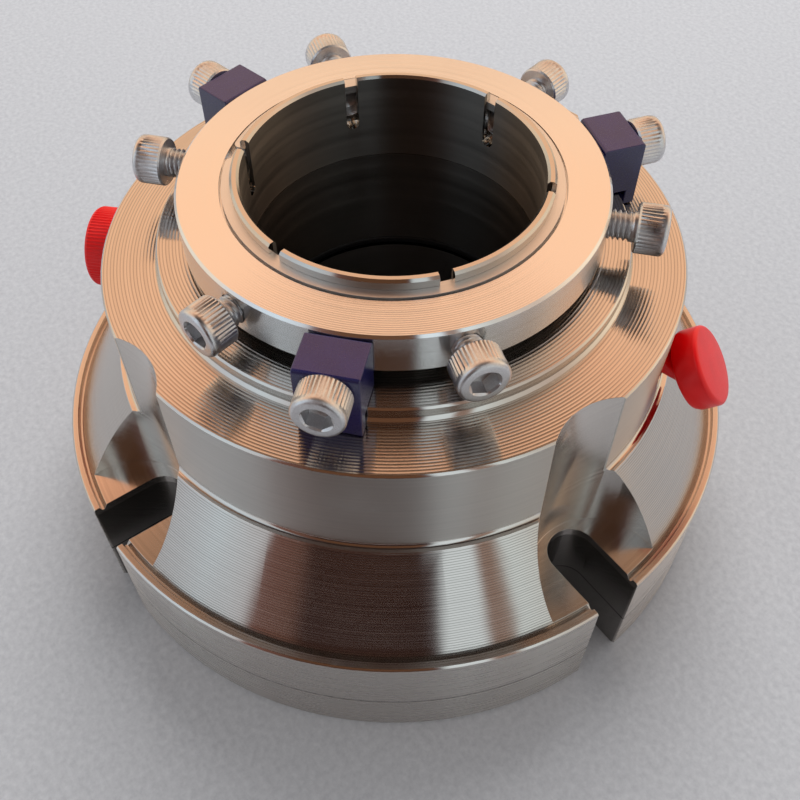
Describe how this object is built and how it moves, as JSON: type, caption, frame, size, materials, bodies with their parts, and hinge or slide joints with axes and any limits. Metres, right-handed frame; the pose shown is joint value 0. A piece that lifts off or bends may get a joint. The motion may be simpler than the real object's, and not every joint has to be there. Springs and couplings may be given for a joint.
{
  "type": "cartridge mechanical seal",
  "caption": "Cartridge shaft seal: flanged gland with open bolt slots, sleeve with drive collar, radial set screws, setting clips and plugged ports.",
  "frame": {"origin": "centre of the gland's bolting face, on the shaft axis", "axes": "+Z along the shaft towards the drive collar, +X and +Y through the bolt slots"},
  "size_m": [0.1556, 0.1556, 0.0904],
  "materials": {
    "gland_steel": "turned stainless steel with fine tool rings",
    "sleeve_steel": "fine turned stainless steel",
    "collar_steel": "turned stainless steel",
    "screw_steel": "cold formed stainless steel",
    "spring_steel": "drawn spring steel",
    "clip_anodised": "blue violet anodised aluminium",
    "plug_plastic": "moulded polyethylene",
    "rubber": "moulded fluoroelastomer",
    "carbon": "lapped carbon graphite",
    "seat_ceramic": "lapped silicon carbide",
    "bush_plastic": "machined filled PTFE"
  },
  "bodies": {
    "gland": {"gland_body": "gland_steel", "gland_base": "gland_steel", "throttle_bush": "bush_plastic", "stationary_seat": "seat_ceramic", "anti_rotation_pin": "screw_steel", "port_plug_right": "plug_plastic", "port_plug_left": "plug_plastic", "seat_o_ring": "rubber", "spigot_o_ring": "rubber", "face_seal_o_ring": "rubber", "base_screw_1": "screw_steel", "base_screw_2": "screw_steel", "base_screw_3": "screw_steel", "base_screw_4": "screw_steel"},
    "rotor": {"sleeve": "sleeve_steel", "sleeve_o_ring": "rubber", "drive_collar": "collar_steel", "retaining_ring": "spring_steel", "spring_carrier": "collar_steel", "drive_screw_1": "screw_steel", "drive_screw_2": "screw_steel", "drive_screw_3": "screw_steel", "drive_screw_4": "screw_steel", "drive_screw_5": "screw_steel", "drive_screw_6": "screw_steel", "setting_clip_1": "clip_anodised", "setting_clip_2": "clip_anodised", "setting_clip_3": "clip_anodised", "clip_screw_1": "screw_steel", "clip_screw_2": "screw_steel", "clip_screw_3": "screw_steel", "grub_screw_1": "screw_steel", "grub_screw_2": "screw_steel", "grub_screw_3": "screw_steel", "drive_pin_1": "screw_steel", "drive_pin_2": "screw_steel", "spring_1": "spring_steel", "spring_2": "spring_steel", "spring_3": "spring_steel", "spring_4": "spring_steel", "spring_5": "spring_steel", "spring_6": "spring_steel", "spring_7": "spring_steel", "spring_8": "spring_steel"},
    "seal_ring": {"rotary_face": "carbon", "rotary_o_ring": "rubber"}
  },
  "joints": [
    {"name": "rotor_spin", "type": "hinge", "parent": "gland", "child": "rotor", "pos_m": [0, 0, 0.05], "axis": [0, 0, 1], "continuous": true},
    {"name": "face_float", "type": "slide", "parent": "rotor", "child": "seal_ring", "axis": [0, 0, -1], "range_m": [0, 0.0015], "stiffness_N_per_m": 6000, "springref_m": -0.006, "deforming": ["spring_1", "spring_2", "spring_3", "spring_4", "spring_5", "spring_6", "spring_7", "spring_8"]}
  ]
}
